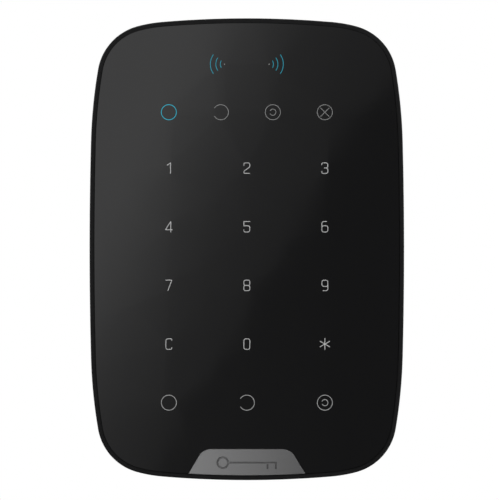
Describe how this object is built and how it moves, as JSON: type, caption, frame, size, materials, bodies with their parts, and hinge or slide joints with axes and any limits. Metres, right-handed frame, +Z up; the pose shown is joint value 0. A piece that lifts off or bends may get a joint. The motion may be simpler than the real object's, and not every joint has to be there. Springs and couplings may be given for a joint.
{
  "type": "rfid card reader",
  "caption": "Wall-mounted keypad with contactless card reader: crowned black touch panel in a two-shell housing that slides off a screwed wall plate.",
  "frame": {"origin": "on the wall plane, behind the middle of the front panel, on the back face of the mounting plate", "axes": "+X to the right seen from the room, +Z up, +Y into the wall; the touch panel faces -Y"},
  "size_m": [0.1126, 0.02, 0.1654],
  "materials": {
    "plate_plastic": "moulded, fine texture",
    "housing_plastic": "moulded, fine spark texture",
    "panel_gloss": "satin gloss black",
    "badge_grey": "satin grey paint",
    "legend_bright": "translucent light grey print",
    "legend_mid": "translucent grey print",
    "legend_dim": "translucent dark grey print",
    "legend_lit": "translucent, lit cyan",
    "tape_foam": "thin acrylic foam tape",
    "film_clear": "polyester film",
    "guide_clear": "clear acrylic sheet",
    "baffle_white": "white moulded",
    "led_epoxy": "phosphor epoxy",
    "board_green": "solder mask",
    "screw_steel": "zinc plated",
    "copper_track": "copper",
    "chip_black": "moulded epoxy",
    "can_tinned": "tinned",
    "ceramic_tan": "fired ceramic",
    "spring_steel": "nickel plated",
    "brass_disc": "rolled",
    "cell_sleeve": "plain printed sleeve",
    "label_paper": "blank label stock",
    "button_plastic": "moulded"
  },
  "bodies": {
    "mounting_plate": {"mounting_plate": "plate_plastic"},
    "keypad": {"rear_housing": "housing_plastic", "front_housing": "housing_plastic", "touch_panel": "panel_gloss", "badge_insert": "badge_grey", "digit_legends": "legend_bright", "arming_legends": "legend_mid", "status_legends": "legend_dim", "armed_light": "legend_lit", "reader_waves": "legend_lit", "reader_dots": "legend_dim", "panel_tape": "tape_foam", "touch_film": "film_clear", "light_guide": "guide_clear", "light_baffle": "baffle_white", "indicator_leds": "led_epoxy", "main_board": "board_green", "board_screws": "screw_steel", "reader_coil": "copper_track", "microcontroller": "chip_black", "reader_chip": "chip_black", "radio_board": "board_green", "radio_shield": "can_tinned", "crystals": "can_tinned", "chip_capacitors": "ceramic_tan", "radio_antennas": "spring_steel", "buzzer_housing": "chip_black", "buzzer_disc": "brass_disc", "battery_cell_1": "cell_sleeve", "battery_cell_2": "cell_sleeve", "battery_cell_3": "cell_sleeve", "battery_cell_4": "cell_sleeve", "contact_plates": "spring_steel", "contact_springs": "spring_steel", "tamper_switch": "chip_black", "tamper_spring": "spring_steel", "power_switch": "chip_black", "housing_screws": "screw_steel", "lock_screw": "screw_steel", "blank_label": "label_paper"},
    "tamper_plunger": {"tamper_plunger": "button_plastic"},
    "power_button": {"power_button": "button_plastic", "switch_actuator": "button_plastic"}
  },
  "joints": [
    {"name": "keypad_slide", "type": "slide", "parent": "mounting_plate", "child": "keypad", "axis": [0, 0, 1], "range_m": [0, 0.006]},
    {"name": "tamper_slide", "type": "slide", "parent": "keypad", "child": "tamper_plunger", "axis": [0, 1, 0], "range_m": [0, 0.0009], "deforming": ["tamper_spring"]},
    {"name": "power_press", "type": "slide", "parent": "keypad", "child": "power_button", "axis": [0, -1, 0], "range_m": [0, 0.0005], "stiffness_N_per_m": 400}
  ],
  "couplings": [
    {"joint": "tamper_slide", "follows": "keypad_slide", "ratio": 0.15}
  ]
}
